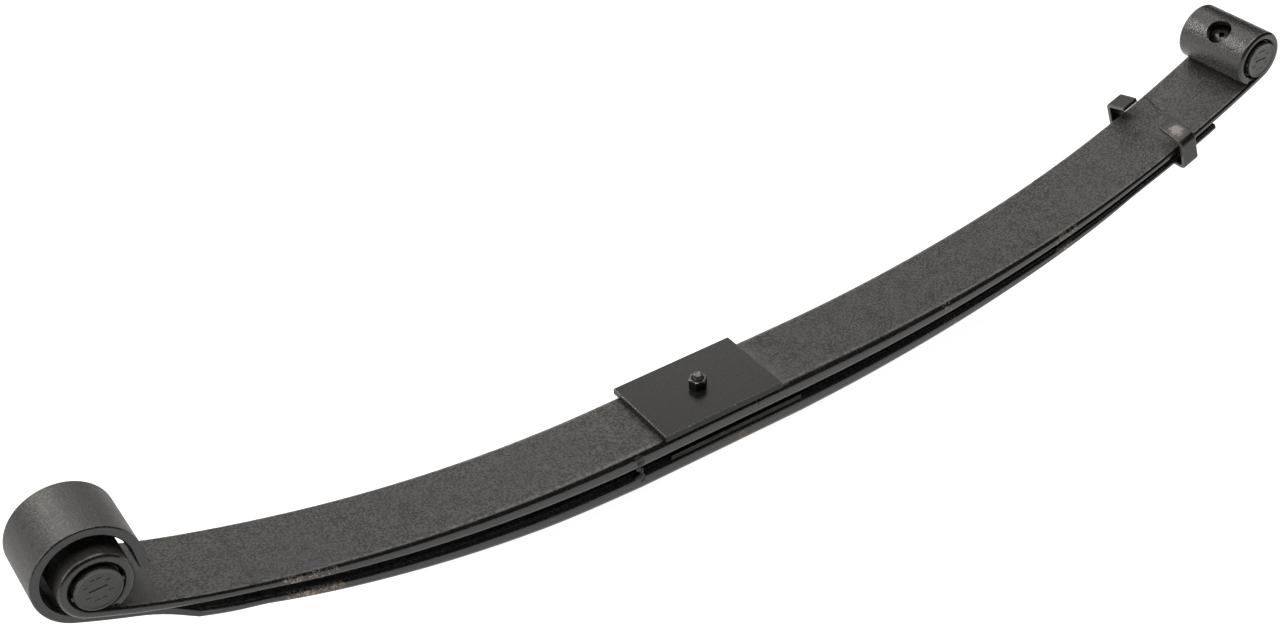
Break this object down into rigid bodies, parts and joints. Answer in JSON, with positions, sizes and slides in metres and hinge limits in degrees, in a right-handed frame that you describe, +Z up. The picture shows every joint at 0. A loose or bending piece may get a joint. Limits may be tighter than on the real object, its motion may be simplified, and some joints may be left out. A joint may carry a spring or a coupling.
{
  "type": "leaf spring",
  "caption": "Parabolic leaf spring for a vehicle axle: an eyed main leaf over a lower leaf that wraps the front eye, bolted through the middle, with a rebound clip.",
  "frame": {"origin": "on the centre bolt's axis at the underside of the lower leaf, which is the face that sits on the axle", "axes": "+X from the centre bolt towards the rear eye, +Y across the leaves, +Z up, from the axle towards the chassis"},
  "size_m": [1.1181, 0.089, 0.1844],
  "materials": {
    "leaf_paint": "satin black paint with a fine mottled grain",
    "gloss_paint": "gloss black paint with dust specks and chipped edges",
    "bush_steel": "machined steel",
    "bolt_steel": "plated steel, rubbed bright",
    "liner_sheet": "thin bare sheet",
    "plug_plastic": "moulded dark plastic with a fine embossed texture",
    "pad_plastic": "moulded plastic"
  },
  "bodies": {
    "centre_pack": {"main_leaf": "leaf_paint", "second_leaf": "leaf_paint", "leaf_spacer": "liner_sheet", "plate_liner": "liner_sheet", "top_plate": "gloss_paint", "centre_bolt": "bolt_steel", "centre_nut": "gloss_paint"},
    "front_arm": {"front_eye_bush": "bush_steel"},
    "rear_arm": {"rear_eye_bush": "bush_steel", "rebound_clip": "gloss_paint", "clip_rivet": "gloss_paint", "tip_pad": "pad_plastic"},
    "front_near_plug": {"front_near_plug": "plug_plastic"},
    "front_far_plug": {"front_far_plug": "plug_plastic"},
    "rear_near_plug": {"rear_near_plug": "plug_plastic"},
    "rear_far_plug": {"rear_far_plug": "plug_plastic"}
  },
  "joints": [
    {"name": "front_arm_flex", "type": "hinge", "parent": "centre_pack", "child": "front_arm", "pos_m": [-0.161, 0, 0.026], "axis": [0, -1, 0], "range_deg": [-3, 10], "stiffness_Nm_per_rad": 19600, "deforming": ["main_leaf", "second_leaf"]},
    {"name": "rear_arm_flex", "type": "hinge", "parent": "centre_pack", "child": "rear_arm", "pos_m": [0.185, 0, 0.026], "axis": [0, 1, 0], "range_deg": [-3, 10], "stiffness_Nm_per_rad": 16000, "deforming": ["main_leaf", "second_leaf"]},
    {"name": "front_near_plug_pull", "type": "slide", "parent": "front_arm", "child": "front_near_plug", "axis": [0, -1, 0], "range_m": [0, 0.03]},
    {"name": "front_far_plug_pull", "type": "slide", "parent": "front_arm", "child": "front_far_plug", "axis": [0, 1, 0], "range_m": [0, 0.03]},
    {"name": "rear_near_plug_pull", "type": "slide", "parent": "rear_arm", "child": "rear_near_plug", "axis": [0, -1, 0], "range_m": [0, 0.03]},
    {"name": "rear_far_plug_pull", "type": "slide", "parent": "rear_arm", "child": "rear_far_plug", "axis": [0, 1, 0], "range_m": [0, 0.03]}
  ]
}
